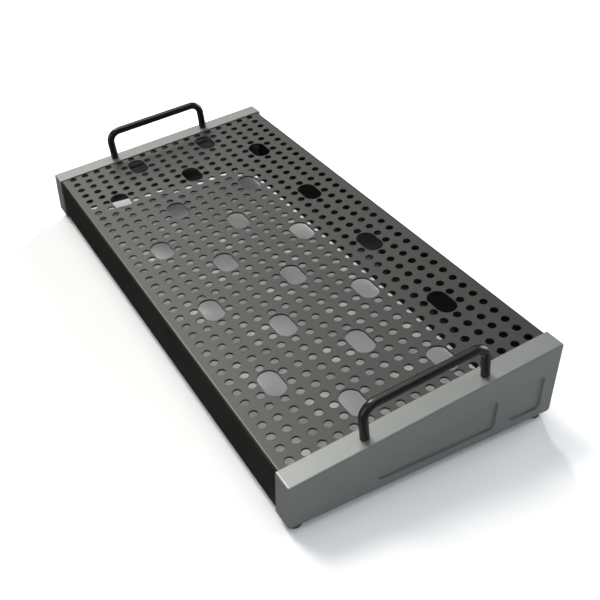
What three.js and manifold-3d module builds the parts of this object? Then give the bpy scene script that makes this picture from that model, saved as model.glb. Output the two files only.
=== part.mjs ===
// Wedge-shaped perforated tray: one folded sheet between two hollow end caps,
// with a bail handle on each cap, four feet and the fixings that hold them together.
// Millimetres. +X runs along the length, +Y from the low front to the tall back, +Z up.
// The origin is on the floor, under the middle of the tray.

import * as THREE from "three";
import { mergeVertices } from "three/addons/utils/BufferGeometryUtils.js";
import Module from "manifold-3d";

const wasm = await Module();
wasm.setup();

// ---- Driving dimensions ----

const PITCH = 16; // spacing of the hole grid, both ways
const COLUMNS = 36;
const ROWS = 17;
const HOLE_DIAMETER = 8.6;
const SLOT_LENGTH = 36;
const SLOT_WIDTH = 21;
const SLOTS_BY_ROW = {
  2: [5.5, 13.5, 21.5, 29.5],
  5: [1.5, 9.5, 17.5, 25.5, 33.5],
  8: [5.5, 13.5, 21.5, 29.5],
  11: [1.5, 9.5, 17.5, 25.5, 33.5],
  14: [5.5, 13.5, 21.5, 29.5],
}; // row number: column positions, counted from the left end and from the front

const SLOPE = THREE.MathUtils.degToRad(6.6); // the top rises towards the back
const DECK_Y = -1.3; // middle of the hole grid, on the top surface
const DECK_Z = 72.4;

const GAP = 0.3; // clearance between neighbouring pieces
const SHEET = 2; // thickness of the folded sheet and of the cap walls
const FOLD_RADIUS = 3; // outside radius of every fold in the sheet
const LIP_WIDTH = 20; // bottom return lip of the front and back walls

const CAP_OUTER_X = 307.1;
const CAP_INNER_X = 285;
const CAP_HALF_WIDTH = 144.6;
const CAP_STEP = 1.1; // cap top stands above the sheet's top surface
const CAP_EDGE = 1.6; // rounding of the outer face's edges
const CAP_CORNERS = [2, 3.5, 1.8, 1.8]; // front bottom, back bottom, back top, front top
const WALL_INSET = 1.9; // front and back walls sit behind the cap's faces

const POCKET_DEPTH = 2.2;
const POCKET_FLOOR_MARGIN = 9.7; // below each pocket
const POCKET_TOP_MARGIN = 29.4; // above each pocket, measured straight up
const POCKET_CORNER = 5;
const POCKETS = [
  { front: -56, back: 73.9 },
  { front: 90.2, back: 128.8 },
];

const HANDLE_X = (CAP_OUTER_X + CAP_INNER_X) / 2;
const HANDLE_HALF_SPACING = 4 * PITCH; // leg centres are 8 holes apart
const HANDLE_HEIGHT = 36.6; // bar axis above the sheet's top surface
const HANDLE_ROD = 9;
const HANDLE_BEND = 13; // radius of the bar axis
const HANDLE_BORE_DEPTH = 13;

const SCREW_M5 = 5;
const SCREW_M4 = 4;
const HOLE_CLEARANCE = 0.3; // on the radius, round every screw

const FOOT_DIAMETER = 15;
const FOOT_HEIGHT = 8;
const FOOT_RECESS = 4.7; // depth of the hollow that hides the foot's screw head
const FOOT_Y = 133.5;
const BASE_Z = FOOT_HEIGHT; // underside of the caps and of the sheet's lips

const TONGUE_LENGTH = 25; // flat tongues that lap over the sheet's lips
const TONGUE_WIDTH = 14;
const TONGUE_Y = 131.5;
const TONGUE_SCREW_X = 275;

const STIFFENER_WIDTH = 54;
const STIFFENER_FOOT = 14;
const STIFFENER_TOP_Z = 83.5;

// ---- Materials ----

const paintBlack = { color: 0x151514, roughness: 0.5, metalness: 0.3 };
const handleBlack = { color: 0x101112, roughness: 0.35, metalness: 0.4 };
const capGrey = { color: 0xa9adab, roughness: 0.5, metalness: 0.35 };
const rubberGrey = { color: 0x2b2c2d, roughness: 0.85, metalness: 0 };
const steel = { color: 0x9a9c9e, roughness: 0.4, metalness: 0.9 };
const plateGrey = { color: 0x777a7b, roughness: 0.5, metalness: 0.7 };

// ---- Geometry helpers ----

function toSolid(geometry) {
  const bare = geometry.clone();
  bare.deleteAttribute("normal");
  bare.deleteAttribute("uv");
  const merged = mergeVertices(bare, 1e-4);
  return new wasm.Manifold(new wasm.Mesh({
    numProp: 3,
    vertProperties: new Float32Array(merged.attributes.position.array),
    triVerts: new Uint32Array(merged.index.array),
  }));
}

function toGeometry(solid) {
  const mesh = solid.getMesh();
  const geometry = new THREE.BufferGeometry();
  geometry.setAttribute("position", new THREE.BufferAttribute(new Float32Array(mesh.vertProperties), 3));
  geometry.setIndex(new THREE.BufferAttribute(new Uint32Array(mesh.triVerts), 1));
  geometry.computeVertexNormals();
  return geometry;
}

function box(minCorner, maxCorner) {
  const size = maxCorner.map((value, i) => value - minCorner[i]);
  const middle = maxCorner.map((value, i) => (value + minCorner[i]) / 2);
  return new THREE.BoxGeometry(...size).translate(...middle);
}

// Cylinder along Z, centred on (x, y), from one height to another.
function post(x, y, fromZ, toZ, radius, sides) {
  const geometry = new THREE.CylinderGeometry(radius, radius, toZ - fromZ, sides);
  return geometry.rotateX(Math.PI / 2).translate(x, y, (fromZ + toZ) / 2);
}

// Body of revolution about Z from [radius, height] pairs listed from the bottom up.
function turned(profile, sides) {
  const points = profile.map(([radius, height]) => new THREE.Vector2(radius, height));
  return new THREE.LatheGeometry(points, sides).rotateX(Math.PI / 2);
}

// A polyline with its inner corners rounded, each corner to its own radius.
function roundedCorners(points, radii, segments, closed) {
  const result = [];
  points.forEach((corner, i) => {
    const isEnd = !closed && (i === 0 || i === points.length - 1);
    if (isEnd || radii[i] <= 0) {
      result.push(corner.clone());
      return;
    }
    const before = points[(i - 1 + points.length) % points.length];
    const after = points[(i + 1) % points.length];
    const toBefore = before.clone().sub(corner).normalize();
    const toAfter = after.clone().sub(corner).normalize();
    const halfAngle = Math.acos(toBefore.dot(toAfter)) / 2;
    const middle = toBefore.clone().add(toAfter).normalize();
    const centre = corner.clone().addScaledVector(middle, radii[i] / Math.sin(halfAngle));
    const start = corner.clone().addScaledVector(toBefore, radii[i] / Math.tan(halfAngle));
    const end = corner.clone().addScaledVector(toAfter, radii[i] / Math.tan(halfAngle));
    const startAngle = start.sub(centre).angle();
    let sweep = end.sub(centre).angle() - startAngle;
    if (sweep > Math.PI) sweep -= 2 * Math.PI;
    if (sweep < -Math.PI) sweep += 2 * Math.PI;
    for (let k = 0; k <= segments; k += 1) {
      const angle = startAngle + (sweep * k) / segments;
      const spoke = new THREE.Vector2(Math.cos(angle), Math.sin(angle)).multiplyScalar(radii[i]);
      result.push(centre.clone().add(spoke));
    }
  });
  return result;
}

// Moves each side of a closed anticlockwise outline inwards by a distance.
function inset(points, distance) {
  return points.map((corner, i) => {
    const before = points[(i - 1 + points.length) % points.length];
    const after = points[(i + 1) % points.length];
    const inDirection = corner.clone().sub(before).normalize();
    const outDirection = after.clone().sub(corner).normalize();
    const inNormal = new THREE.Vector2(-inDirection.y, inDirection.x);
    const outNormal = new THREE.Vector2(-outDirection.y, outDirection.x);
    const scale = distance / (1 + inNormal.dot(outNormal));
    return corner.clone().addScaledVector(inNormal.add(outNormal), scale);
  });
}

// Extrudes an outline drawn in (Y, Z) along X.
function extrudeAlongX(outline, fromX, toX, bevel = 0) {
  const geometry = new THREE.ExtrudeGeometry(new THREE.Shape(outline), {
    depth: toX - fromX - 2 * bevel,
    steps: 1,
    bevelEnabled: bevel > 0,
    bevelSize: bevel,
    bevelThickness: bevel,
    bevelOffset: -bevel,
    bevelSegments: 3,
  });
  geometry.translate(0, 0, fromX + bevel);
  const yzxToWorld = new THREE.Matrix4().set(0, 0, 1, 0, 1, 0, 0, 0, 0, 1, 0, 0, 0, 0, 0, 1);
  return geometry.applyMatrix4(yzxToWorld);
}

// The deck frame: X as in the world, Y up the slope, Z square to the sloping top.
const deckMatrix = new THREE.Matrix4()
  .makeRotationX(SLOPE)
  .setPosition(0, DECK_Y, DECK_Z);

function onDeck(geometry) {
  return geometry.applyMatrix4(deckMatrix);
}

function deckPlaneZ(y, offset) {
  return DECK_Z + (y - DECK_Y) * Math.tan(SLOPE) + offset / Math.cos(SLOPE);
}

// A world (Y, Z) point, seen in the deck frame.
function seenFromDeck(point) {
  return point.clone().sub(new THREE.Vector2(DECK_Y, DECK_Z)).rotateAround(new THREE.Vector2(), -SLOPE);
}

// ---- Folded perforated sheet, drawn in the deck frame ----

function sheetOutline() {
  const wallY = CAP_HALF_WIDTH - WALL_INSET;
  const path = (offset) => {
    const side = wallY - offset;
    const base = BASE_Z + offset;
    const lipEnd = wallY - LIP_WIDTH;
    return [
      new THREE.Vector2(-lipEnd, base),
      new THREE.Vector2(-side, base),
      new THREE.Vector2(-side, deckPlaneZ(-side, -offset)),
      new THREE.Vector2(side, deckPlaneZ(side, -offset)),
      new THREE.Vector2(side, base),
      new THREE.Vector2(lipEnd, base),
    ];
  };
  const radii = (radius) => [0, radius, radius, radius, radius, 0];
  const outer = roundedCorners(path(0), radii(FOLD_RADIUS), 4, false);
  const inner = roundedCorners(path(SHEET), radii(FOLD_RADIUS - SHEET), 2, false);
  return outer.concat(inner.reverse()).map(seenFromDeck);
}

function isSlotHere(column, row) {
  const slots = SLOTS_BY_ROW[row] ?? [];
  return slots.some((slotColumn) => Math.abs(slotColumn - column) < 1);
}

// Each hole is cut four-sided, with the area of the round hole.
function holeCutters() {
  const side = (HOLE_DIAMETER * Math.sqrt(Math.PI)) / 2;
  const cutters = [];
  for (let row = 0; row < ROWS; row += 1) {
    for (let column = 0; column < COLUMNS; column += 1) {
      if (!isSlotHere(column, row)) {
        const x = (column - (COLUMNS - 1) / 2) * PITCH;
        const y = (row - (ROWS - 1) / 2) * PITCH;
        cutters.push(box([x - side / 2, y - side / 2, -6], [x + side / 2, y + side / 2, 4]));
      }
    }
  }
  return cutters;
}

function slotCutters() {
  const radius = SLOT_WIDTH / 2;
  const straight = SLOT_LENGTH / 2 - radius;
  const outline = new THREE.Shape();
  outline.absarc(straight, 0, radius, -Math.PI / 2, Math.PI / 2, false);
  outline.absarc(-straight, 0, radius, Math.PI / 2, (3 * Math.PI) / 2, false);
  const cutters = [];
  for (const [row, columns] of Object.entries(SLOTS_BY_ROW)) {
    for (const column of columns) {
      const x = (column - (COLUMNS - 1) / 2) * PITCH;
      const y = (Number(row) - (ROWS - 1) / 2) * PITCH;
      const cutter = new THREE.ExtrudeGeometry(outline, { depth: 10, bevelEnabled: false, curveSegments: 2 });
      cutters.push(cutter.translate(x, y, -6));
    }
  }
  return cutters;
}

function perforatedSheet() {
  const endX = CAP_INNER_X - GAP;
  let solid = toSolid(extrudeAlongX(sheetOutline(), -endX, endX));
  for (const cutter of [...holeCutters(), ...slotCutters()]) {
    solid = solid.subtract(toSolid(cutter));
  }
  const worldToDeck = deckMatrix.clone().invert();
  for (const x of [-TONGUE_SCREW_X, TONGUE_SCREW_X]) {
    for (const y of [-TONGUE_Y, TONGUE_Y]) {
      const hole = post(x, y, BASE_Z - 2, BASE_Z + 5, SCREW_M4 / 2 + HOLE_CLEARANCE, 8);
      solid = solid.subtract(toSolid(hole.applyMatrix4(worldToDeck)));
    }
  }
  return toGeometry(solid);
}

// ---- End cap, drawn for the right end ----

function capCorners() {
  const top = (y) => deckPlaneZ(y, CAP_STEP);
  return [
    new THREE.Vector2(-CAP_HALF_WIDTH, BASE_Z),
    new THREE.Vector2(CAP_HALF_WIDTH, BASE_Z),
    new THREE.Vector2(CAP_HALF_WIDTH, top(CAP_HALF_WIDTH)),
    new THREE.Vector2(-CAP_HALF_WIDTH, top(-CAP_HALF_WIDTH)),
  ];
}

function pocketOutline({ front, back }, grow) {
  const bottom = BASE_Z + POCKET_FLOOR_MARGIN;
  const top = (y) => deckPlaneZ(y, CAP_STEP) - POCKET_TOP_MARGIN;
  const corners = inset([
    new THREE.Vector2(front, bottom),
    new THREE.Vector2(back, bottom),
    new THREE.Vector2(back, top(back)),
    new THREE.Vector2(front, top(front)),
  ], -grow);
  return roundedCorners(corners, Array(4).fill(POCKET_CORNER + grow), 4, true);
}

function rightCap() {
  const outer = roundedCorners(capCorners(), CAP_CORNERS, 4, true);
  const innerRadii = CAP_CORNERS.map((radius) => radius - SHEET);
  const inner = roundedCorners(inset(capCorners(), SHEET), innerRadii, 3, true);
  const wallInnerX = CAP_OUTER_X - SHEET;

  let solid = toSolid(extrudeAlongX(outer, CAP_INNER_X - 20, CAP_OUTER_X, CAP_EDGE));
  solid = solid.subtract(toSolid(box([0, -200, -50], [CAP_INNER_X, 200, 150])));
  solid = solid.subtract(toSolid(extrudeAlongX(inner, CAP_INNER_X - 5, wallInnerX)));
  for (const pocket of POCKETS) {
    const pad = extrudeAlongX(pocketOutline(pocket, SHEET), wallInnerX - POCKET_DEPTH, wallInnerX + 0.5);
    const recess = extrudeAlongX(pocketOutline(pocket, 0), CAP_OUTER_X - POCKET_DEPTH, CAP_OUTER_X + 5);
    solid = solid.add(toSolid(pad)).subtract(toSolid(recess));
  }
  for (const side of [-1, 1]) {
    const lowY = side * TONGUE_Y - TONGUE_WIDTH / 2;
    const highY = side * TONGUE_Y + TONGUE_WIDTH / 2;
    const tongueZ = BASE_Z + SHEET + GAP;
    const tongueStart = CAP_INNER_X + 5 - TONGUE_LENGTH;
    const tongue = box([tongueStart, lowY, tongueZ], [CAP_INNER_X + 5, highY, tongueZ + SHEET]);
    const root = box([CAP_INNER_X, lowY, BASE_Z + 1], [CAP_INNER_X + 5, highY, tongueZ + 1]);
    const screwHole = post(TONGUE_SCREW_X, side * TONGUE_Y, BASE_Z, BASE_Z + 8, SCREW_M4 / 2 + HOLE_CLEARANCE, 8);
    const footHole = post(HANDLE_X, side * FOOT_Y, BASE_Z - 2, BASE_Z + 4, SCREW_M4 / 2 + HOLE_CLEARANCE, 8);
    const legHole = post(HANDLE_X, side * HANDLE_HALF_SPACING, -3, 3, SCREW_M5 / 2 + HOLE_CLEARANCE, 10);
    solid = solid.add(toSolid(tongue)).add(toSolid(root));
    solid = solid.subtract(toSolid(screwHole)).subtract(toSolid(footHole));
    solid = solid.subtract(toSolid(onDeck(legHole)));
  }
  return solid;
}

function mirroredInX(solid) {
  return solid.mirror([1, 0, 0]);
}

// ---- Bail handle, drawn in the deck frame at X = 0 ----

const LEG_START = CAP_STEP + GAP;

class HandlePath extends THREE.Curve {
  constructor() {
    super();
    const half = HANDLE_HALF_SPACING;
    this.stations = roundedCorners([
      new THREE.Vector2(-half, LEG_START),
      new THREE.Vector2(-half, HANDLE_HEIGHT),
      new THREE.Vector2(half, HANDLE_HEIGHT),
      new THREE.Vector2(half, LEG_START),
    ], [0, HANDLE_BEND, HANDLE_BEND, 0], 6, false);
  }

  getPoint(t, target = new THREE.Vector3()) {
    const last = this.stations.length - 1;
    const position = Math.min(Math.max(t, 0), 1) * last;
    const index = Math.min(Math.floor(position), last - 1);
    const here = this.stations[index];
    const next = this.stations[index + 1];
    const point = here.clone().lerp(next, position - index);
    return target.set(0, point.x, point.y);
  }

  getUtoTmapping(u) {
    return u;
  }
}

function handleSolid() {
  const path = new HandlePath();
  const section = new THREE.Shape().absarc(0, 0, HANDLE_ROD / 2, 0, 2 * Math.PI, false);
  const rod = new THREE.ExtrudeGeometry(section, {
    steps: path.stations.length - 1,
    curveSegments: 7,
    extrudePath: path,
  });
  let solid = toSolid(rod);
  for (const side of [-1, 1]) {
    const y = side * HANDLE_HALF_SPACING;
    const bore = post(0, y, LEG_START - 2, LEG_START + HANDLE_BORE_DEPTH, SCREW_M5 / 2 + HOLE_CLEARANCE, 10);
    solid = solid.subtract(toSolid(bore));
  }
  return solid;
}

// ---- Turned pieces ----

// Screw pointing up from the underside of its head at height 0, with a hexagon socket.
function screwGeometry(diameter, length, headDiameter, headHeight, socket, sides) {
  const body = toSolid(turned([
    [0, -headHeight],
    [headDiameter / 2 - 0.6, -headHeight],
    [headDiameter / 2, -headHeight + 0.8],
    [headDiameter / 2, 0],
    [diameter / 2, 0],
    [diameter / 2, length - 0.6],
    [diameter / 2 - 0.6, length],
    [0, length],
  ], sides));
  const drive = post(0, 0, -headHeight - 1, -headHeight / 2, socket / 2, 6);
  return toGeometry(body.subtract(toSolid(drive)));
}

function washerGeometry() {
  const bore = SCREW_M5 / 2 + HOLE_CLEARANCE;
  return turned([[bore, 0], [5, 0], [5, 1], [bore, 1], [bore, 0]], 12);
}

// Foot with a recess in its underside for the screw head.
function footGeometry() {
  const radius = FOOT_DIAMETER / 2;
  const bore = SCREW_M4 / 2 + HOLE_CLEARANCE;
  const top = FOOT_HEIGHT - GAP;
  return turned([
    [bore, FOOT_RECESS],
    [4.2, FOOT_RECESS],
    [4.2, 0],
    [radius - 0.8, 0],
    [radius, 0.8],
    [radius, top],
    [bore, top],
    [bore, FOOT_RECESS],
  ], 20);
}

// ---- Stiffener inside the back wall ----

function stiffenerGeometry() {
  const backFace = CAP_HALF_WIDTH - WALL_INSET - SHEET - GAP;
  const footZ = BASE_Z + SHEET + GAP;
  const outline = [
    new THREE.Vector2(backFace - STIFFENER_FOOT, footZ),
    new THREE.Vector2(backFace - 1, footZ),
    new THREE.Vector2(backFace, footZ + 1),
    new THREE.Vector2(backFace, STIFFENER_TOP_Z),
    new THREE.Vector2(backFace - SHEET, STIFFENER_TOP_Z),
    new THREE.Vector2(backFace - SHEET, footZ + SHEET),
    new THREE.Vector2(backFace - STIFFENER_FOOT, footZ + SHEET),
  ];
  return extrudeAlongX(outline, -STIFFENER_WIDTH / 2, STIFFENER_WIDTH / 2);
}

// ---- Assembly ----

const tray = new THREE.Group();
const deckGroup = new THREE.Group();
deckGroup.position.set(0, DECK_Y, DECK_Z);
deckGroup.rotation.x = SLOPE;
tray.add(deckGroup);

function place(parent, name, geometry, look, position = [0, 0, 0]) {
  const mesh = new THREE.Mesh(geometry, new THREE.MeshStandardMaterial(look));
  mesh.name = name;
  mesh.position.set(...position);
  parent.add(mesh);
}

place(deckGroup, "perforated_sheet", perforatedSheet(), paintBlack);
place(tray, "back_stiffener", stiffenerGeometry(), plateGrey);

const capSolid = rightCap();
const handleGeometry = toGeometry(handleSolid());
const handleScrew = screwGeometry(SCREW_M5, 14.5, 8.5, 3, 3.2, 12);
const handleWasher = washerGeometry();
const foot = footGeometry();
const footScrew = screwGeometry(SCREW_M4, 8.5, 7.4, 2.2, 2.6, 10);
const lipScrew = screwGeometry(SCREW_M4, 7, 7.4, 2.2, 2.6, 10);

for (const [end, sign] of [["left", -1], ["right", 1]]) {
  const cap = sign > 0 ? capSolid : mirroredInX(capSolid);
  place(tray, `end_cap_${end}`, toGeometry(cap), capGrey);
  place(deckGroup, `handle_${end}`, handleGeometry, handleBlack, [sign * HANDLE_X, 0, 0]);
  for (const [side, way] of [["front", -1], ["back", 1]]) {
    const legY = way * HANDLE_HALF_SPACING;
    const washerTop = CAP_STEP - SHEET - GAP;
    const legPosition = [sign * HANDLE_X, legY, washerTop - 1];
    const headTop = [sign * HANDLE_X, legY, washerTop - 1 - GAP];
    place(deckGroup, `handle_washer_${end}_${side}`, handleWasher, steel, legPosition);
    place(deckGroup, `handle_screw_${end}_${side}`, handleScrew, steel, headTop);
    place(tray, `foot_${end}_${side}`, foot, rubberGrey, [sign * HANDLE_X, way * FOOT_Y, 0]);
    const footScrewTop = [sign * HANDLE_X, way * FOOT_Y, FOOT_RECESS - GAP];
    place(tray, `foot_screw_${end}_${side}`, footScrew, steel, footScrewTop);
    const lipScrewTop = [sign * TONGUE_SCREW_X, way * TONGUE_Y, BASE_Z - GAP];
    place(tray, `lip_screw_${end}_${side}`, lipScrew, steel, lipScrewTop);
  }
}

export default tray;
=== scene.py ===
# Wedge-shaped perforated tray: looks, floor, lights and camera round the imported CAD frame.
# Metres. +X runs along the length, +Y from the low front to the tall back, +Z up.
import math

import bmesh
import bpy
from mathutils import Matrix, Vector
from mathutils.geometry import delaunay_2d_cdt


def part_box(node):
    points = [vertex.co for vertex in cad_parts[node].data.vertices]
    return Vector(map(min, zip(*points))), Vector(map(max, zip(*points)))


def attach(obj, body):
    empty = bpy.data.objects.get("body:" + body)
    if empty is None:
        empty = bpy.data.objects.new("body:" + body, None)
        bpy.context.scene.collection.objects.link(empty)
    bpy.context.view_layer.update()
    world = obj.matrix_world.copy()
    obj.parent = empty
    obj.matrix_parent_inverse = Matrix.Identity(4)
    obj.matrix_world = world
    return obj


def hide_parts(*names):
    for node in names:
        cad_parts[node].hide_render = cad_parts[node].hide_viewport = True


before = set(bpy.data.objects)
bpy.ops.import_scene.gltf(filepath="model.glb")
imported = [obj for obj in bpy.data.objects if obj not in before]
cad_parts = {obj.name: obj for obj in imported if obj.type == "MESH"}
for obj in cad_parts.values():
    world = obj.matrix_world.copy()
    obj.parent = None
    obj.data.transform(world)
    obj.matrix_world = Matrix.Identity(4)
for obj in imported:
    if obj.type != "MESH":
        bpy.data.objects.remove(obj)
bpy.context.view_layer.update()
scene = bpy.context.scene

MM = 0.001

# ---- Sizes that the CAD part is drawn to ----

PITCH = 16 * MM
COLUMNS = 36
ROWS = 17
HOLE_RADIUS = 4.3 * MM
SLOT_HALF_LENGTH = 18 * MM
SLOT_RADIUS = 10.5 * MM
# Rows count from the front and columns from the left. A slot lies between two hole places.
SLOTS_BY_ROW = {
    2: (5.5, 13.5, 21.5, 29.5),
    5: (1.5, 9.5, 17.5, 25.5, 33.5),
    8: (5.5, 13.5, 21.5, 29.5),
    11: (1.5, 9.5, 17.5, 25.5, 33.5),
    14: (5.5, 13.5, 21.5, 29.5),
}

SLOPE = math.radians(6.6)
# Middle of the hole grid, on the sheet's top surface.
DECK_Y = -1.3 * MM
DECK_Z = 72.4 * MM

GAP = 0.3 * MM  # between neighbouring pieces
SHEET = 2 * MM
FOLD_RADIUS = 3 * MM
LIP_WIDTH = 20 * MM

CAP_STEP = 1.1 * MM  # how far the caps stand proud of the sheet's top
CAP_EDGE = 1.6 * MM  # rounding round the cap's outer face
# Corner radii at the front bottom, back bottom, back top and front top.
CAP_CORNERS = (2 * MM, 3.5 * MM, 1.8 * MM, 1.8 * MM)
FOOT_RECESS = 4.7 * MM  # height of the shelf under the foot screw's head
POCKET_DEPTH = 2.2 * MM
POCKET_FLOOR_MARGIN = 9.7 * MM
POCKET_TOP_MARGIN = 29.4 * MM
POCKET_CORNER = 5 * MM
# Front and back edge of each pocket, along Y.
POCKETS = ((-56 * MM, 73.9 * MM), (90.2 * MM, 128.8 * MM))

HANDLE_HALF_SPACING = 4 * PITCH
HANDLE_HEIGHT = 36.6 * MM
HANDLE_RADIUS = 4.5 * MM
HANDLE_BEND = 13 * MM
HANDLE_BORE_DEPTH = 13 * MM

SCREW_HOLE_GAP = 0.3 * MM
M5_RADIUS = 2.5 * MM
M4_RADIUS = 2 * MM
TONGUE_LENGTH = 25 * MM
TONGUE_WIDTH = 14 * MM
TONGUE_ROOT = 5 * MM
TONGUE_CORNER = 3 * MM

WASHER_RADIUS = 5 * MM
WASHER_THICKNESS = 1 * MM
HANDLE_SCREW_LENGTH = 14.5 * MM
FOOT_SCREW_LENGTH = 8.5 * MM
LIP_SCREW_LENGTH = 7 * MM
M5_BUTTON_HEAD = {
    "radius": M5_RADIUS,
    "head_radius": 4.25 * MM,
    "head_height": 3 * MM,
    "socket": 1.6 * MM,
    "pitch": 0.8 * MM,
}
M4_BUTTON_HEAD = {
    "radius": M4_RADIUS,
    "head_radius": 3.7 * MM,
    "head_height": 2.2 * MM,
    "socket": 1.3 * MM,
    "pitch": 0.7 * MM,
}

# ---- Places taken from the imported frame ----

sheet_low, sheet_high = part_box("perforated_sheet")
cap_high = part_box("end_cap_right")[1]
foot_low, foot_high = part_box("foot_right_back")
lip_screw_low, lip_screw_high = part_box("lip_screw_right_back")
stiffener_low, stiffener_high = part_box("back_stiffener")

SHEET_END_X = sheet_high.x
WALL_Y = sheet_high.y
BASE_Z = sheet_low.z
CAP_OUTER_X = cap_high.x
CAP_INNER_X = SHEET_END_X + GAP
CAP_HALF_WIDTH = cap_high.y
FOOT_X = (foot_low.x + foot_high.x) / 2
FOOT_Y = (foot_low.y + foot_high.y) / 2
LIP_SCREW_X = (lip_screw_low.x + lip_screw_high.x) / 2
LIP_SCREW_Y = (lip_screw_low.y + lip_screw_high.y) / 2
LEG_START = CAP_STEP + GAP

DECK_TO_WORLD = Matrix.Translation((0, DECK_Y, DECK_Z)) @ Matrix.Rotation(SLOPE, 4, "X")

# ---- Fineness of the meshes ----

SUPPORT = 0.4 * MM  # flat strip beside every rounding, which keeps flat faces flat in shading
RIM = 0.3 * MM  # softening of cut edges
HOLE_RIM = 0.12 * MM  # softening of the sheet's openings
FILLET = 0.2 * MM  # rounding of the pockets' edges and of the cap's inner corner
LEAST_RADIUS = 0.25 * MM  # the corners of an inset outline stay at least this round
SHARP_ANGLE = math.radians(32)  # shading breaks at edges sharper than this

ARC_STEPS = 8
EDGE_STEPS = 6
FILLET_STEPS = 4
SMALL_STEPS = 3
SLOT_ARC_STEPS = 24
HANDLE_BEND_STEPS = 20
HOLE_SIDES = 32
BAR_SIDES = 40
SCREW_SIDES = 48
FOOT_SIDES = 56

MERGE_DISTANCE = 1e-7
CDT_TOLERANCE = 1e-9
CDT_INSIDE_ONLY = 1  # delaunay_2d_cdt's output type without the triangles outside the given edges


# ---- Mesh helpers ----


def deck_plane_z(y, offset):
    """Height at y of the plane that lies offset above the sheet's top surface."""
    return DECK_Z + (y - DECK_Y) * math.tan(SLOPE) + offset / math.cos(SLOPE)


def shade(mesh):
    """Smooth shading, broken at sharp edges."""
    mesh.polygons.foreach_set("use_smooth", [True] * len(mesh.polygons))
    mesh.set_sharp_from_angle(angle=SHARP_ANGLE)


def finish_mesh(name, bm, material):
    """Turns a bmesh into a shaded object in the scene."""
    bmesh.ops.remove_doubles(bm, verts=bm.verts, dist=MERGE_DISTANCE)
    bmesh.ops.recalc_face_normals(bm, faces=bm.faces)
    mesh = bpy.data.meshes.new(name)
    bm.to_mesh(mesh)
    bm.free()
    shade(mesh)
    piece = bpy.data.objects.new(name, mesh)
    scene.collection.objects.link(piece)
    mesh.materials.append(material)
    return piece


def loft(bm, rings, closed_start=False, closed_end=False):
    """Joins rings of the same length with quads, and fills the first and last on request."""
    rows = [[bm.verts.new(point) for point in ring] for ring in rings]
    count = len(rings[0])
    for lower, upper in zip(rows, rows[1:]):
        for i in range(count):
            j = (i + 1) % count
            bm.faces.new((lower[i], lower[j], upper[j], upper[i]))
    if closed_start:
        bm.faces.new(rows[0])
    if closed_end:
        bm.faces.new(rows[-1])


def plate(loops, lines=()):
    """Triangles between a first, outer loop and the convex holes that follow it.

    Lines are further edges to keep, as pairs of point numbers of the outer loop.
    Returns the plane points, the triangles, and each loop as point numbers.
    """
    points = []
    edges = []
    owner = []
    numbers = []
    for index, loop in enumerate(loops):
        start = len(points)
        points.extend(Vector(point) for point in loop)
        owner.extend([index] * len(loop))
        ids = list(range(start, len(points)))
        numbers.append(ids)
        edges.extend(zip(ids, ids[1:] + ids[:1]))
    edges.extend(lines)
    made = delaunay_2d_cdt(points, edges, [], CDT_INSIDE_ONLY, CDT_TOLERANCE)
    out_points, triangles, origins = made[0], made[2], made[3]
    renumber = {old: new for new, olds in enumerate(origins) for old in olds}
    out_owner = [owner[olds[0]] if olds else 0 for olds in origins]
    kept = []
    for triangle in triangles:
        owners = {out_owner[i] for i in triangle}
        if owners != {0} and len(owners) == 1:
            continue
        kept.append(triangle)
    return out_points, kept, [[renumber[i] for i in ids] for ids in numbers]


def circle(radius, sides, x=0.0, y=0.0):
    """Outline of a circle, anticlockwise."""
    turn = 2 * math.pi / sides
    return [(x + radius * math.cos(i * turn), y + radius * math.sin(i * turn)) for i in range(sides)]


def obround(half_length, radius, steps, x, y):
    """Outline of a slot with round ends, anticlockwise."""
    points = []
    for side in (1, -1):
        middle = x + side * (half_length - radius)
        for i in range(steps + 1):
            angle = -math.pi / 2 * side + math.pi * i / steps
            points.append((middle + radius * math.cos(angle), y + radius * math.sin(angle)))
    return points


def inset_corners(corners, distance):
    """Moves each side of an anticlockwise outline inwards."""
    moved = []
    for i, corner in enumerate(corners):
        before = Vector(corners[i - 1])
        after = Vector(corners[(i + 1) % len(corners)])
        here = Vector(corner)
        way_in = (here - before).normalized()
        way_out = (after - here).normalized()
        normal_in = Vector((-way_in.y, way_in.x))
        normal_out = Vector((-way_out.y, way_out.x))
        scale = distance / (1 + normal_in.dot(normal_out))
        moved.append(here + (normal_in + normal_out) * scale)
    return moved


def round_corner(before, corner, after, radius, steps, support):
    """Points of one rounded corner, with a point at a distance of support beyond each end."""
    to_before = (before - corner).normalized()
    to_after = (after - corner).normalized()
    half_angle = to_before.angle(to_after) / 2
    centre = corner + (to_before + to_after).normalized() * (radius / math.sin(half_angle))
    reach = radius / math.tan(half_angle)
    start = corner + to_before * reach
    end = corner + to_after * reach
    from_angle = math.atan2(start.y - centre.y, start.x - centre.x)
    sweep = math.atan2(end.y - centre.y, end.x - centre.x) - from_angle
    sweep = (sweep + math.pi) % (2 * math.pi) - math.pi
    points = [start + to_before * support] if support else []
    for i in range(steps + 1):
        angle = from_angle + sweep * i / steps
        points.append(centre + Vector((math.cos(angle), math.sin(angle))) * radius)
    if support:
        points.append(end + to_after * support)
    return points


def rounded_outline(corners, radii, inset=0.0, steps=ARC_STEPS, support=SUPPORT):
    """A closed outline moved inwards, with the corner radii reduced by as much."""
    moved = inset_corners(corners, inset)
    points = []
    for i, corner in enumerate(moved):
        after = moved[(i + 1) % len(moved)]
        radius = max(radii[i] - inset, LEAST_RADIUS)
        points += round_corner(moved[i - 1], corner, after, radius, steps, support)
    return points


def at_x(outline, x):
    """A (Y, Z) outline as a ring at one X."""
    return [(x, point[0], point[1]) for point in outline]


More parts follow.
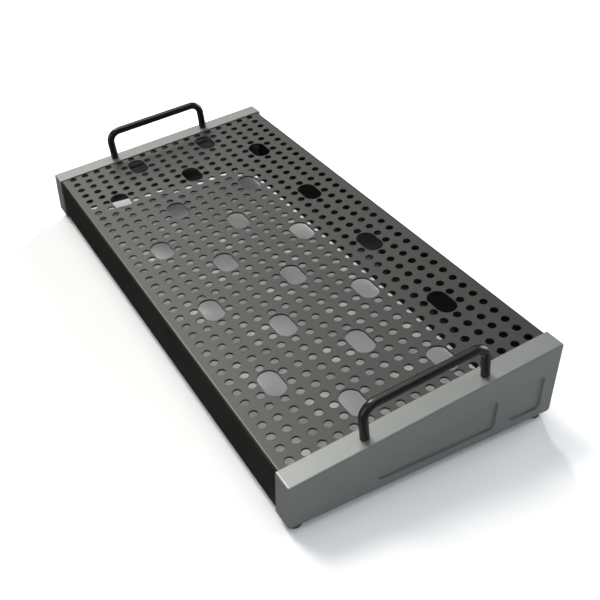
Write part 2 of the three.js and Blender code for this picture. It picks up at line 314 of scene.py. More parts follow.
def rounding(start, end, steps):
    """Quarter round from one (x, inset) to another, leaving the first along x."""
    stations = []
    for i in range(steps + 1):
        angle = math.pi / 2 * i / steps
        x = start[0] + (end[0] - start[0]) * math.sin(angle)
        inset = start[1] + (end[1] - start[1]) * (1 - math.cos(angle))
        stations.append((x, inset))
    return stations


# ---- Materials ----

NOISE_ROUGHNESS = 0.55
MIDDLE_LOW = 0.3  # most values of a noise lie between these two
MIDDLE_HIGH = 0.7
CLOUD_SCALE = 22
CLOUD_DETAIL = 4
CLOUD_SHARE = (0.15, 0.4)
SPECK_RATIO = 1.7  # how much finer the specks of tone are than the grain
SPECK_DETAIL = 2
SPECK_SHARE = 0.45
GRAIN_STRENGTH = 0.35


def new_material(name, base, metallic, specular):
    """A node material with its plain values set on the shader."""
    material = bpy.data.materials.new(name)
    material.use_nodes = True
    nodes = material.node_tree.nodes
    shader = nodes["Principled BSDF"]
    shader.inputs["Base Color"].default_value = (*base, 1)
    shader.inputs["Metallic"].default_value = metallic
    shader.inputs["Specular IOR Level"].default_value = specular
    return material, nodes, material.node_tree.links, shader


def noise(nodes, links, coordinates, scale, detail=3.0):
    texture = nodes.new("ShaderNodeTexNoise")
    texture.inputs["Scale"].default_value = scale
    texture.inputs["Detail"].default_value = detail
    texture.inputs["Roughness"].default_value = NOISE_ROUGHNESS
    links.new(coordinates, texture.inputs["Vector"])
    return texture.outputs["Fac"]


def spread(nodes, links, source, low, high):
    """Maps the middle of a noise onto a range."""
    remap = nodes.new("ShaderNodeMapRange")
    remap.inputs["From Min"].default_value = MIDDLE_LOW
    remap.inputs["From Max"].default_value = MIDDLE_HIGH
    remap.inputs["To Min"].default_value = low
    remap.inputs["To Max"].default_value = high
    links.new(source, remap.inputs["Value"])
    return remap.outputs["Result"]


def tint(nodes, links, source, dark, light):
    """Colours the middle of a noise from dark to light."""
    ramp = nodes.new("ShaderNodeValToRGB")
    first, last = ramp.color_ramp.elements
    first.position = MIDDLE_LOW
    first.color = (*dark, 1)
    last.position = MIDDLE_HIGH
    last.color = (*light, 1)
    links.new(source, ramp.inputs["Fac"])
    return ramp.outputs["Color"]


def coated(name, dark, light, roughness, metallic, grain_scale, grain_height, specular=0.5):
    """A surface with cloudy tone, cloudy gloss and a fine grain."""
    material, nodes, links, shader = new_material(name, light, metallic, specular)
    place = nodes.new("ShaderNodeTexCoord").outputs["Object"]
    cloud = noise(nodes, links, place, CLOUD_SCALE, CLOUD_DETAIL)
    speck = noise(nodes, links, place, grain_scale * SPECK_RATIO, SPECK_DETAIL)
    grain = noise(nodes, links, place, grain_scale)
    mixed = nodes.new("ShaderNodeMath")
    mixed.operation = "MULTIPLY_ADD"
    mixed.inputs[1].default_value = SPECK_SHARE
    links.new(speck, mixed.inputs[0])
    links.new(spread(nodes, links, cloud, *CLOUD_SHARE), mixed.inputs[2])
    links.new(tint(nodes, links, mixed.outputs["Value"], dark, light), shader.inputs["Base Color"])
    links.new(spread(nodes, links, cloud, *roughness), shader.inputs["Roughness"])
    bump = nodes.new("ShaderNodeBump")
    bump.inputs["Strength"].default_value = GRAIN_STRENGTH
    bump.inputs["Distance"].default_value = grain_height
    links.new(grain, bump.inputs["Height"])
    links.new(bump.outputs["Normal"], shader.inputs["Normal"])
    return material


black_powder = coated(
    "black_powder",
    dark=(0.019, 0.0185, 0.0175),
    light=(0.027, 0.0262, 0.0245),
    roughness=(0.36, 0.44),
    metallic=0.0,
    grain_scale=1300,
    grain_height=0.06 * MM,
)
cap_paint = coated(
    "cap_paint",
    dark=(0.225, 0.24, 0.232),
    light=(0.262, 0.276, 0.268),
    roughness=(0.28, 0.33),
    metallic=0.3,
    grain_scale=1900,
    grain_height=0.03 * MM,
)
handle_black = coated(
    "handle_black",
    dark=(0.013, 0.013, 0.013),
    light=(0.020, 0.020, 0.019),
    roughness=(0.21, 0.265),
    metallic=0.0,
    grain_scale=2400,
    grain_height=0.02 * MM,
)
foot_rubber = coated(
    "foot_rubber",
    dark=(0.085, 0.088, 0.088),
    light=(0.115, 0.118, 0.118),
    roughness=(0.7, 0.85),
    metallic=0.0,
    grain_scale=1500,
    grain_height=0.05 * MM,
    specular=0.3,
)
zinc = coated(
    "zinc_steel",
    dark=(0.50, 0.50, 0.49),
    light=(0.64, 0.64, 0.62),
    roughness=(0.28, 0.42),
    metallic=1.0,
    grain_scale=900,
    grain_height=0.03 * MM,
)
plate_grey = coated(
    "stiffener_plate",
    dark=(0.16, 0.165, 0.17),
    light=(0.22, 0.225, 0.23),
    roughness=(0.35, 0.5),
    metallic=0.7,
    grain_scale=700,
    grain_height=0.04 * MM,
)


# ---- Folded perforated sheet ----


def sheet_profile():
    """Outside face of the folded sheet in (Y, Z): points, normals and developed lengths.

    It runs from the back lip over the top to the front lip.
    Also gives the developed length at the middle of the hole grid.
    """
    lip_end = WALL_Y - LIP_WIDTH
    corners = [
        Vector((lip_end, BASE_Z)),
        Vector((WALL_Y, BASE_Z)),
        Vector((WALL_Y, deck_plane_z(WALL_Y, 0))),
        Vector((-WALL_Y, deck_plane_z(-WALL_Y, 0))),
        Vector((-WALL_Y, BASE_Z)),
        Vector((-lip_end, BASE_Z)),
    ]
    points = [corners[0]]
    for before, corner, after in zip(corners, corners[1:], corners[2:]):
        points += round_corner(before, corner, after, FOLD_RADIUS, ARC_STEPS, SUPPORT)
    points.append(corners[-1])
    ways = [(b - a).normalized() for a, b in zip(points, points[1:])]
    normals = []
    for i in range(len(points)):
        way = ways[max(i - 1, 0)] + ways[min(i, len(ways) - 1)]
        way.normalize()
        normals.append(Vector((way.y, -way.x)))
    lengths = [0.0]
    for a, b in zip(points, points[1:]):
        lengths.append(lengths[-1] + (b - a).length)
    corner_points = ARC_STEPS + 3
    deck_start = 2 * corner_points  # the last point of the second corner
    middle = lengths[deck_start] + (points[deck_start] - Vector((DECK_Y, DECK_Z))).length
    return points, normals, lengths, middle


def round_opening(x, s, radius):
    """A round hole, as a function from growth to outline."""
    return lambda grow: circle(radius + grow, HOLE_SIDES, x, s)


def slot_opening(x, s):
    """A cable slot, as a function from growth to outline."""
    return lambda grow: obround(SLOT_HALF_LENGTH + grow, SLOT_RADIUS + grow, SLOT_ARC_STEPS, x, s)


def sheet_openings(middle, total):
    """Every opening in the flat pattern, as functions from growth to outline."""
    openings = []
    slots = {(row, column) for row, columns in SLOTS_BY_ROW.items() for column in columns}
    for row in range(ROWS):
        s = middle - (row - (ROWS - 1) / 2) * PITCH
        for column in range(COLUMNS):
            x = (column - (COLUMNS - 1) / 2) * PITCH
            if (row, column - 0.5) in slots or (row, column + 0.5) in slots:
                continue
            openings.append(round_opening(x, s, HOLE_RADIUS))
        for column in SLOTS_BY_ROW.get(row, ()):
            x = (column - (COLUMNS - 1) / 2) * PITCH
            openings.append(slot_opening(x, s))
    lip_s = LIP_SCREW_Y - (WALL_Y - LIP_WIDTH)
    for x in (-LIP_SCREW_X, LIP_SCREW_X):
        for s in (lip_s, total - lip_s):
            openings.append(round_opening(x, s, M4_RADIUS + SCREW_HOLE_GAP))
    return openings


def make_perforated_sheet():
    """Cuts the flat pattern into triangles, bends it to shape and gives it thickness."""
    points, normals, lengths, middle = sheet_profile()

    def folded(x, s, depth):
        """A point of the flat pattern, bent to shape, depth below the outside face."""
        i = 0
        while i < len(lengths) - 2 and s > lengths[i + 1]:
            i += 1
        part = (s - lengths[i]) / (lengths[i + 1] - lengths[i])
        point = points[i].lerp(points[i + 1], part)
        normal = normals[i].lerp(normals[i + 1], part).normalized()
        place = point - normal * depth
        return (x, place.x, place.y)

    right_edge = [(SHEET_END_X, s) for s in lengths]
    left_edge = [(-SHEET_END_X, s) for s in reversed(lengths)]
    outline = right_edge + left_edge
    count = len(lengths)
    bend_lines = [(i, 2 * count - 1 - i) for i in range(1, count - 1)]
    openings = sheet_openings(middle, lengths[-1])
    rims = [opening(HOLE_RIM) for opening in openings]
    pattern, triangles, loops = plate([outline] + rims, bend_lines)
    bm = bmesh.new()
    outer = [bm.verts.new(folded(p.x, p.y, 0)) for p in pattern]
    inner = [bm.verts.new(folded(p.x, p.y, SHEET)) for p in pattern]
    for a, b, c in triangles:
        bm.faces.new((outer[a], outer[b], outer[c]))
        bm.faces.new((inner[c], inner[b], inner[a]))
    edge = loops[0]
    for i, j in zip(edge, edge[1:] + edge[:1]):
        bm.faces.new((outer[i], outer[j], inner[j], inner[i]))
    for loop, opening in zip(loops[1:], openings):
        cut = opening(0)
        upper = [bm.verts.new(folded(x, s, HOLE_RIM)) for x, s in cut]
        lower = [bm.verts.new(folded(x, s, SHEET - HOLE_RIM)) for x, s in cut]
        rings = [[outer[i] for i in loop], upper, lower, [inner[i] for i in loop]]
        for first, second in zip(rings, rings[1:]):
            for i in range(len(first)):
                j = (i + 1) % len(first)
                bm.faces.new((first[i], first[j], second[j], second[i]))
    piece = finish_mesh("sheet_fine", bm, black_powder)
    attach(piece, "root")
    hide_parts("perforated_sheet")


# ---- End caps ----


def cap_corners():
    """The cap's side view in (Y, Z)."""
    return [
        (-CAP_HALF_WIDTH, BASE_Z),
        (CAP_HALF_WIDTH, BASE_Z),
        (CAP_HALF_WIDTH, deck_plane_z(CAP_HALF_WIDTH, CAP_STEP)),
        (-CAP_HALF_WIDTH, deck_plane_z(-CAP_HALF_WIDTH, CAP_STEP)),
    ]


def cap_outline(inset):
    return rounded_outline(cap_corners(), CAP_CORNERS, inset)


def pocket_outline(pocket, grow):
    """A pocket's side view in (Y, Z), grown by a distance."""
    front, back = pocket
    bottom = BASE_Z + POCKET_FLOOR_MARGIN
    corners = [
        (front, bottom),
        (back, bottom),
        (back, deck_plane_z(back, CAP_STEP) - POCKET_TOP_MARGIN),
        (front, deck_plane_z(front, CAP_STEP) - POCKET_TOP_MARGIN),
    ]
    return rounded_outline(corners, [POCKET_CORNER] * 4, -grow)


def face_with_holes(bm, outline, holes, x):
    """Fills between an outline and holes at one X."""
    pattern, triangles, _ = plate([outline] + holes)
    verts = [bm.verts.new((x, p.x, p.y)) for p in pattern]
    for triangle in triangles:
        bm.faces.new([verts[i] for i in triangle])


def cutter(name, bm):
    """A temporary object for a boolean."""
    bmesh.ops.recalc_face_normals(bm, faces=bm.faces)
    mesh = bpy.data.meshes.new(name)
    bm.to_mesh(mesh)
    bm.free()
    tool = bpy.data.objects.new(name, mesh)
    scene.collection.objects.link(tool)
    return tool


def combine(piece, tool, operation):
    """Applies one boolean to a piece and removes the tool."""
    modifier = piece.modifiers.new("combine", "BOOLEAN")
    modifier.operation = operation
    modifier.solver = "EXACT"
    modifier.object = tool
    evaluated = piece.evaluated_get(bpy.context.evaluated_depsgraph_get())
    mesh = bpy.data.meshes.new_from_object(evaluated)
    piece.modifiers.clear()
    piece.data = mesh
    bpy.data.objects.remove(tool)


def post(bm, radius, low, high, matrix):
    """A cylinder that cuts a bore."""
    rings = [[matrix @ Vector((x, y, z)) for x, y in circle(radius, BAR_SIDES)] for z in (low, high)]
    loft(bm, rings, True, True)


def cap_stations(inner_x):
    """The cap's wall as (x, inset) stations, from the inner face round the rim to the outer face."""
    inner_corner = rounding((inner_x - FILLET, SHEET), (inner_x, SHEET + FILLET), SMALL_STEPS)
    stations = [(inner_x, SHEET + FILLET + SUPPORT), (inner_x, SHEET + FILLET)]
    stations += inner_corner[-2::-1]
    stations += [(inner_x - FILLET - SUPPORT, SHEET), (CAP_INNER_X + RIM, SHEET)]
    stations += [(CAP_INNER_X, SHEET - RIM), (CAP_INNER_X, RIM), (CAP_INNER_X + RIM, 0)]
    stations += [(CAP_OUTER_X - CAP_EDGE - SUPPORT, 0)]
    stations += rounding((CAP_OUTER_X - CAP_EDGE, 0), (CAP_OUTER_X, CAP_EDGE), EDGE_STEPS)
    stations += [(CAP_OUTER_X, CAP_EDGE + SUPPORT)]
    return stations


def press_pocket(bm, pocket, inner_x):
    """A pocket in the outer face, and the pad that it pushes out of the inner face."""
    floor_x = CAP_OUTER_X - POCKET_DEPTH
    outer_corner = rounding((CAP_OUTER_X - FILLET, 0), (CAP_OUTER_X, FILLET), FILLET_STEPS)
    recess = [(CAP_OUTER_X, FILLET + SUPPORT), (CAP_OUTER_X, FILLET)]
    recess += outer_corner[-2::-1]
    recess += rounding((floor_x + FILLET, 0), (floor_x, -FILLET), FILLET_STEPS)
    recess += [(floor_x, -FILLET - SUPPORT)]
    loft(bm, [at_x(pocket_outline(pocket, grow), x) for x, grow in recess], False, True)
    pad = [(inner_x, SHEET), (inner_x - POCKET_DEPTH + RIM, SHEET)]
    pad += [(inner_x - POCKET_DEPTH, SHEET - RIM)]
    loft(bm, [at_x(pocket_outline(pocket, grow), x) for x, grow in pad], False, True)


def add_tongue(piece, side):
    """The tongue under the sheet's lip, and the block that joins it to the cap's bottom wall."""
    edge = 0.2 * MM
    root_corner = 0.5 * MM
    overlap = 1 * MM  # how far the block reaches into the wall and the tongue
    tongue_z = BASE_Z + SHEET + GAP
    low_y = side * LIP_SCREW_Y - TONGUE_WIDTH / 2
    high_y = side * LIP_SCREW_Y + TONGUE_WIDTH / 2
    start_x = CAP_INNER_X + TONGUE_ROOT - TONGUE_LENGTH
    end_x = CAP_INNER_X + TONGUE_ROOT
    shape = [(start_x, low_y), (end_x, low_y), (end_x, high_y), (start_x, high_y)]
    corner_radii = (TONGUE_CORNER, root_corner, root_corner, TONGUE_CORNER)
    rings = []
    for z, inset in ((0, edge), (edge, 0), (SHEET - edge, 0), (SHEET, edge)):
        flat = rounded_outline(shape, corner_radii, inset, EDGE_STEPS, 0)
        rings.append([(p.x, p.y, tongue_z + z) for p in flat])
    bm = bmesh.new()
    loft(bm, rings, True, True)
    combine(piece, cutter("tongue_tool", bm), "UNION")

    low_x = CAP_INNER_X + 2 * RIM
    high_x = end_x - RIM
    low_y += RIM
    high_y -= RIM
    root = [(low_x, low_y), (high_x, low_y), (high_x, high_y), (low_x, high_y)]
    flat = rounded_outline(root, [root_corner] * 4, 0, SMALL_STEPS, 0)
    heights = (BASE_Z + overlap, tongue_z + overlap)
    bm = bmesh.new()
    loft(bm, [[(p.x, p.y, z) for p in flat] for z in heights], True, True)
    combine(piece, cutter("root_tool", bm), "UNION")


def bore_cap(piece, side):
    """The holes for one lip screw, one foot screw and one handle screw."""
    lip_hole = Matrix.Translation((LIP_SCREW_X, side * LIP_SCREW_Y, BASE_Z))
    foot_hole = Matrix.Translation((FOOT_X, side * FOOT_Y, BASE_Z))
    leg_hole = DECK_TO_WORLD @ Matrix.Translation((FOOT_X, side * HANDLE_HALF_SPACING, 0))
    bm = bmesh.new()
    post(bm, M4_RADIUS + SCREW_HOLE_GAP, 0, 4 * SHEET, lip_hole)
    post(bm, M4_RADIUS + SCREW_HOLE_GAP, -SHEET, 2 * SHEET, foot_hole)
    post(bm, M5_RADIUS + SCREW_HOLE_GAP, -1.5 * SHEET, 1.5 * SHEET, leg_hole)
    combine(piece, cutter("hole_tool", bm), "DIFFERENCE")


def make_cap(name, sign):
    """The cap of the right end, mirrored for the left."""
    inner_x = CAP_OUTER_X - SHEET
    bm = bmesh.new()
    loft(bm, [at_x(cap_outline(inset), x) for x, inset in cap_stations(inner_x)])
    outer_holes = [pocket_outline(pocket, FILLET + SUPPORT) for pocket in POCKETS]
    inner_holes = [pocket_outline(pocket, SHEET) for pocket in POCKETS]
    face_with_holes(bm, cap_outline(CAP_EDGE + SUPPORT), outer_holes, CAP_OUTER_X)
    face_with_holes(bm, cap_outline(SHEET + FILLET + SUPPORT), inner_holes, inner_x)
    for pocket in POCKETS:
        press_pocket(bm, pocket, inner_x)
    piece = finish_mesh(name, bm, cap_paint)
    for side in (-1, 1):
        add_tongue(piece, side)
        bore_cap(piece, side)
    if sign < 0:
        piece.data.transform(Matrix.Scale(-1, 4, (1, 0, 0)))
        piece.data.flip_normals()
    shade(piece.data)
    return piece


# ---- Handles ----


def handle_path():
    """Stations along the bar in the deck frame: (Y, Z) points from the front leg to the back leg."""
    half = HANDLE_HALF_SPACING
    corners = [
        Vector((-half, LEG_START)),
        Vector((-half, HANDLE_HEIGHT)),
        Vector((half, HANDLE_HEIGHT)),
        Vector((half, LEG_START)),
    ]
    points = round_corner(*corners[:3], HANDLE_BEND, HANDLE_BEND_STEPS, SUPPORT)
    points += round_corner(*corners[1:], HANDLE_BEND, HANDLE_BEND_STEPS, SUPPORT)
    return points


def make_handle(name, x):
    """The bar, swept along its path, with a chamfered end and a blind bore in each leg."""
    half = HANDLE_HALF_SPACING
    chamfer = 0.7 * MM
    bore_chamfer = 0.4 * MM
    bore = M5_RADIUS + SCREW_HOLE_GAP
    ends = [
        (LEG_START + HANDLE_BORE_DEPTH, bore),
        (LEG_START + bore_chamfer, bore),
        (LEG_START, bore + bore_chamfer),
        (LEG_START, HANDLE_RADIUS - chamfer),
        (LEG_START + chamfer, HANDLE_RADIUS),
        (LEG_START + chamfer + SUPPORT, HANDLE_RADIUS),
    ]
    path = handle_path()
    stations = [(Vector((-half, z)), Vector((0, 1)), radius) for z, radius in ends]
    below = Vector((0, -1))
    for i, point in enumerate(path):
        before = path[i - 1] if i else point + below
        after = path[i + 1] if i < len(path) - 1 else point + below
        way = (after - before).normalized()
        stations.append((point, way, HANDLE_RADIUS))
    stations += [(Vector((half, z)), Vector((0, -1)), radius) for z, radius in reversed(ends)]
    rings = []
    for point, way, radius in stations:
        across = Vector((way.y, -way.x))
        ring = []
        for u, v in circle(radius, BAR_SIDES):
            spot = point + across * u
            ring.append(DECK_TO_WORLD @ Vector((x + v, spot.x, spot.y)))
        rings.append(ring)
    bm = bmesh.new()
    loft(bm, rings, True, True)
    piece = finish_mesh(name, bm, handle_black)
    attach(piece, "root")
    return piece


# ---- Turned pieces ----


def make_screw(name, matrix, length, radius, head_radius, head_height, socket, pitch):
    """Button-head screw pointing up, with a hexagon socket and ringed thread."""
    soft = 0.2 * MM
    head_edge = 0.4 * MM
    tip = 0.6 * MM
    crown = socket + 0.6 * MM  # radius of the head's flat end
    socket_depth = head_height / 2
    socket_flare = 1.08
    thread_start = 2 * pitch
    thread_end = length - 1.2 * pitch
    thread_depth = 0.45 * pitch
    per_side = SCREW_SIDES // 6
    hexagon = []
    for side in range(6):
        a = math.pi / 3 * side
        start = Vector((math.cos(a), math.sin(a))) * socket
        end = Vector((math.cos(a + math.pi / 3), math.sin(a + math.pi / 3))) * socket
        hexagon += [start.lerp(end, i / per_side) for i in range(per_side)]
    rings = [[(p.x, p.y, -socket_depth) for p in hexagon]]
    rings += [[(p.x, p.y, -head_height + soft) for p in hexagon]]
    rings += [[(p.x * socket_flare, p.y * socket_flare, -head_height) for p in hexagon]]
    profile = [(crown, -head_height)]
    for i in range(EDGE_STEPS + 1):
        angle = math.pi / 2 * i / EDGE_STEPS
        bulge = head_radius - (head_radius - crown) * (1 - math.sin(angle))
        profile.append((bulge, -head_height + (head_height - head_edge) * (1 - math.cos(angle))))
    profile += [(head_radius, -soft), (head_radius - soft, 0), (radius + soft, 0), (radius, soft)]
    z = thread_start
    while z < thread_end:
        profile += [(radius, z), (radius - thread_depth, z + pitch / 2)]
        z += pitch
    profile += [(radius, z), (radius - tip, length)]
    rings += [[(x, y, z) for x, y in circle(r, SCREW_SIDES)] for r, z in profile]
    bm = bmesh.new()
    loft(bm, [[matrix @ Vector(point) for point in ring] for ring in rings], True, True)
    piece = finish_mesh(name, bm, zinc)
    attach(piece, "root")
    return piece


def make_washer(name, matrix):
    """A flat ring with softened edges, from a closed (radius, height) section."""
    bore = M5_RADIUS + SCREW_HOLE_GAP
    outer = WASHER_RADIUS
    thick = WASHER_THICKNESS
    soft = 0.15 * MM
    section = [
        (bore, soft),
        (bore, thick - soft),
        (bore + soft, thick),
        (outer - soft, thick),
        (outer, thick - soft),
        (outer, soft),
        (outer - soft, 0),
        (bore + soft, 0),
    ]
    bm = bmesh.new()
    rings = [[matrix @ Vector((x, y, z)) for x, y in circle(r, SCREW_SIDES)] for r, z in section]
    loft(bm, rings + [rings[0]])
    piece = finish_mesh(name, bm, zinc)
    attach(piece, "root")
    return piece


def make_foot(name, x, y):
    """A round foot with a stepped bore that takes its screw's head."""
    bore = M4_RADIUS + SCREW_HOLE_GAP
    outer = (foot_high.x - foot_low.x) / 2
    top = foot_high.z
    recess = 4.2 * MM
    shelf_edge = 0.2 * MM
    recess_edge = 0.3 * MM
    soft = 0.8 * MM
    soft_steps = 5
    top_drop = 0.6 * MM
    top_bevel = 0.2 * MM
    top_edge = 0.5 * MM
    section = [(bore, FOOT_RECESS), (recess - shelf_edge, FOOT_RECESS)]
    section += [(recess, FOOT_RECESS - shelf_edge), (recess, recess_edge)]
    section += [(recess + recess_edge, 0), (outer - soft, 0)]
    for i in range(1, soft_steps + 1):
        angle = math.pi / 2 * i / soft_steps
        section.append((outer - soft + soft * math.sin(angle), soft - soft * math.cos(angle)))
    section += [(outer, top - top_drop), (outer - top_bevel, top - top_bevel)]
    section += [(outer - top_edge, top), (bore, top)]
    bm = bmesh.new()
    rings = [[Vector((x + u, y + v, z)) for u, v in circle(r, FOOT_SIDES)] for r, z in section]
    loft(bm, rings + [rings[0]])
    piece = finish_mesh(name, bm, foot_rubber)
    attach(piece, "root")
    return piece


# ---- Stiffener ----


def make_stiffener():
    """L-shaped plate inside the back wall, with a bend at its foot."""
    outer_bend = 3 * MM
    inner_bend = outer_bend - SHEET
    soft = 0.15 * MM
    back, top = stiffener_high.y, stiffener_high.z
    foot_front, foot_z = stiffener_low.y, stiffener_low.z
    path = [Vector((foot_front, foot_z)), Vector((back, foot_z)), Vector((back, top))]
    outer = round_corner(*path, outer_bend, ARC_STEPS, SUPPORT)
    inner_path = [
        Vector((foot_front, foot_z + SHEET)),
        Vector((back - SHEET, foot_z + SHEET)),
        Vector((back - SHEET, top)),
    ]
    inner = round_corner(*inner_path, inner_bend, ARC_STEPS, SUPPORT)
    outline = [path[0]] + outer + [path[2], inner_path[2]] + inner[::-1] + [inner_path[0]]
    stations = [
        (stiffener_low.x, soft),
        (stiffener_low.x + soft, 0),
        (stiffener_high.x - soft, 0),
        (stiffener_high.x, soft),
    ]
    bm = bmesh.new()
    loft(bm, [at_x(inset_corners(outline, inset), x) for x, inset in stations], True, True)
    piece = finish_mesh("stiffener_fine", bm, plate_grey)
    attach(piece, "root")
    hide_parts("back_stiffener")


# ---- Assembly ----

make_perforated_sheet()
make_stiffener()

for end, sign in (("left", -1), ("right", 1)):
    cap = make_cap(f"cap_fine_{end}", sign)
    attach(cap, "root")
    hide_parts(f"end_cap_{end}")
    handle = make_handle(f"handle_fine_{end}", sign * FOOT_X)
    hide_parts(f"handle_{end}")
    for side, way in (("front", -1), ("back", 1)):
        leg_x = sign * FOOT_X
        leg_y = way * HANDLE_HALF_SPACING
        washer_z = CAP_STEP - SHEET - GAP - WASHER_THICKNESS
        washer_place = DECK_TO_WORLD @ Matrix.Translation((leg_x, leg_y, washer_z))
        washer = make_washer(f"washer_fine_{end}_{side}", washer_place)
        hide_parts(f"handle_washer_{end}_{side}")
        screw_place = DECK_TO_WORLD @ Matrix.Translation((leg_x, leg_y, washer_z - GAP))
        screw_name = f"handle_screw_fine_{end}_{side}"
        screw = make_screw(screw_name, screw_place, HANDLE_SCREW_LENGTH, **M5_BUTTON_HEAD)
        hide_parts(f"handle_screw_{end}_{side}")
        foot = make_foot(f"foot_fine_{end}_{side}", sign * FOOT_X, way * FOOT_Y)
        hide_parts(f"foot_{end}_{side}")
        foot_place = Matrix.Translation((sign * FOOT_X, way * FOOT_Y, FOOT_RECESS - GAP))
        foot_screw_name = f"foot_screw_fine_{end}_{side}"
        foot_screw = make_screw(foot_screw_name, foot_place, FOOT_SCREW_LENGTH, **M4_BUTTON_HEAD)
        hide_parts(f"foot_screw_{end}_{side}")
        lip_place = Matrix.Translation((sign * LIP_SCREW_X, way * LIP_SCREW_Y, BASE_Z - GAP))
        lip_screw_name = f"lip_screw_fine_{end}_{side}"
        lip_screw = make_screw(lip_screw_name, lip_place, LIP_SCREW_LENGTH, **M4_BUTTON_HEAD)
        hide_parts(f"lip_screw_{end}_{side}")


# ---- Floor, lights and camera ----

FLOOR_HALF_SIZE = 5.0
FLOOR_CLOUD_SCALE = 3
SEEN_WHITE = 1.1  # strength of the world where the camera sees it

# Soft boxes round the tray: azimuth, elevation and half-angle in degrees, strength and tint.
# Azimuth 0 is in front of the tray, 90 to its right and 270 to its left.
SOFT_BOXES = (
    ("key_high_left", 285, 50, 14, 20.5, (1.0, 0.965, 0.905)),
    ("wide_left", 268, 46, 32, 2.1, (1.0, 0.98, 0.94)),
    ("overhead", 0, 90, 28, 2.4, (0.97, 1.0, 1.04)),
    ("low_back", 180, 17, 31, 5.0, (0.98, 1.0, 1.02)),
    ("low_front", 0, 12, 35, 1.2, (0.98, 1.0, 1.0)),
    ("fill_right", 45, 40, 38, 0.45, (0.96, 1.0, 1.05)),
    ("bounce_right", 135, -25, 45, 0.25, (0.95, 1.0, 1.05)),
)

# Area lights for the floor alone: place, aim, length and width in metres, watts and tint.
# The low one reaches under the tray's edges, and the others lighten the shadows.
FLOOR_WASHES = (
    ("floor_wash_low", (-0.98, 0.72, 0.25), (0, 0, 0), 0.12, 0.04, 26, (1, 1, 1)),
    ("floor_wash_right", (1.2, -0.5, 0.9), (0.2, -0.1, 0), 1, 1, 5.5, (0.86, 0.93, 1)),
    ("floor_wash_left", (-1.1, -1.2, 0.7), (-0.2, -0.2, 0), 1, 1, 3, (1, 0.98, 0.94)),
)

CAMERA_AZIMUTH = math.radians(59.82)
CAMERA_ELEVATION = math.radians(36.06)
CAMERA_ROLL = math.radians(0.18)
CAMERA_DISTANCE = 0.954
CAMERA_AIM = Vector((0.0501, 0.0152, 0.0243))
CAMERA_LENS = 51.975
CAMERA_SENSOR = 36


def direction(azimuth, elevation):
    """Unit vector away from the tray, from two angles in radians.

    Azimuth 0 points to the front and a quarter turn to the right end.
    """
    flat = math.cos(elevation)
    return Vector((math.sin(azimuth) * flat, -math.cos(azimuth) * flat, math.sin(elevation)))


def make_floor():
    """A pale floor, which glossy surfaces don't reflect."""
    half = FLOOR_HALF_SIZE
    bm = bmesh.new()
    corners = [(-half, -half, 0), (half, -half, 0), (half, half, 0), (-half, half, 0)]
    bm.faces.new([bm.verts.new(corner) for corner in corners])
    material, nodes, links, shader = new_material("floor_white", (0.82, 0.82, 0.82), 0.0, 0.0)
    place = nodes.new("ShaderNodeTexCoord").outputs["Object"]
    cloud = noise(nodes, links, place, FLOOR_CLOUD_SCALE)
    color = tint(nodes, links, cloud, (0.81, 0.81, 0.81), (0.83, 0.83, 0.83))
    links.new(color, shader.inputs["Base Color"])
    shader.inputs["Roughness"].default_value = 1.0
    floor = finish_mesh("floor", bm, material)
    floor.visible_glossy = False
    return floor


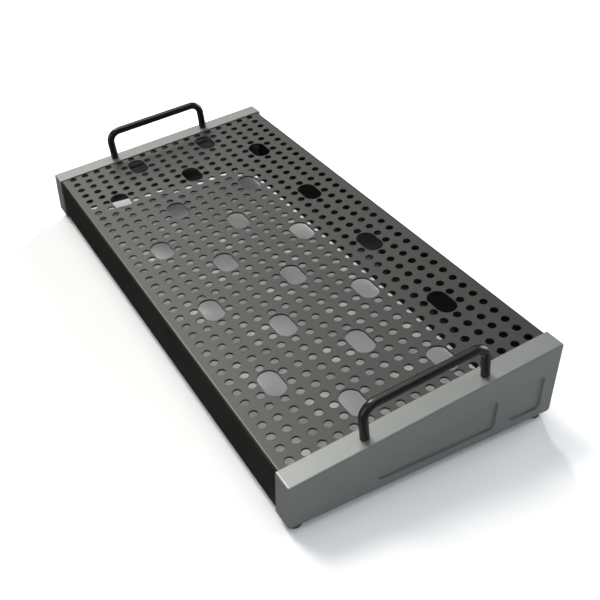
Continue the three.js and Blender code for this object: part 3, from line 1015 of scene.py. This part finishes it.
def make_world():
    """Dark studio with soft boxes that fade towards their edges, plain white to the camera."""
    world = bpy.data.worlds.new("studio")
    scene.world = world
    world.use_nodes = True
    nodes, links = world.node_tree.nodes, world.node_tree.links
    nodes.clear()
    place = nodes.new("ShaderNodeTexCoord").outputs["Generated"]
    total = None
    for name, azimuth, elevation, half_angle, strength, color in SOFT_BOXES:
        facing = nodes.new("ShaderNodeVectorMath")
        facing.operation = "DOT_PRODUCT"
        facing.inputs[1].default_value = direction(math.radians(azimuth), math.radians(elevation))
        links.new(place, facing.inputs[0])
        fade = nodes.new("ShaderNodeMapRange")
        fade.interpolation_type = "SMOOTHSTEP"
        fade.inputs["From Min"].default_value = math.cos(math.radians(half_angle))
        fade.inputs["From Max"].default_value = 1.0
        fade.inputs["To Max"].default_value = strength
        links.new(facing.outputs["Value"], fade.inputs["Value"])
        box = nodes.new("ShaderNodeBackground")
        box.label = name
        box.inputs["Color"].default_value = (*color, 1)
        links.new(fade.outputs["Result"], box.inputs["Strength"])
        if total is None:
            total = box.outputs["Background"]
        else:
            both = nodes.new("ShaderNodeAddShader")
            links.new(total, both.inputs[0])
            links.new(box.outputs["Background"], both.inputs[1])
            total = both.outputs["Shader"]
    white = nodes.new("ShaderNodeBackground")
    white.inputs["Strength"].default_value = SEEN_WHITE
    white.inputs["Color"].default_value = (1, 1, 1, 1)
    mix = nodes.new("ShaderNodeMixShader")
    links.new(nodes.new("ShaderNodeLightPath").outputs["Is Camera Ray"], mix.inputs["Fac"])
    links.new(total, mix.inputs[1])
    links.new(white.outputs["Background"], mix.inputs[2])
    output = nodes.new("ShaderNodeOutputWorld")
    links.new(mix.outputs["Shader"], output.inputs["Surface"])


def make_floor_wash(name, place, aim, length, width, watts, color, receivers):
    """An area light that lights its receivers alone."""
    light = bpy.data.lights.new(name, "AREA")
    light.shape = "RECTANGLE"
    light.size = length
    light.size_y = width
    light.energy = watts
    light.color = color
    lamp = bpy.data.objects.new(name, light)
    lamp.location = place
    lamp.rotation_euler = (Vector(aim) - Vector(place)).to_track_quat("-Z", "Y").to_euler()
    lamp.light_linking.receiver_collection = receivers
    lamp.visible_camera = False
    scene.collection.objects.link(lamp)


def make_camera():
    """The photo's view."""
    lens = bpy.data.cameras.new("camera")
    lens.lens = CAMERA_LENS
    lens.sensor_width = CAMERA_SENSOR
    camera = bpy.data.objects.new("camera", lens)
    away = direction(CAMERA_AZIMUTH, CAMERA_ELEVATION)
    roll = Matrix.Rotation(CAMERA_ROLL, 3, "Z").to_quaternion()
    camera.location = CAMERA_AIM + away * CAMERA_DISTANCE
    camera.rotation_mode = "QUATERNION"
    camera.rotation_quaternion = (-away).to_track_quat("-Z", "Y") @ roll
    scene.collection.objects.link(camera)
    scene.camera = camera


floor = make_floor()
make_world()
floor_only = bpy.data.collections.new("floor_only")
floor_only.objects.link(floor)
for wash in FLOOR_WASHES:
    make_floor_wash(*wash, floor_only)
make_camera()
scene.view_settings.view_transform = "Standard"
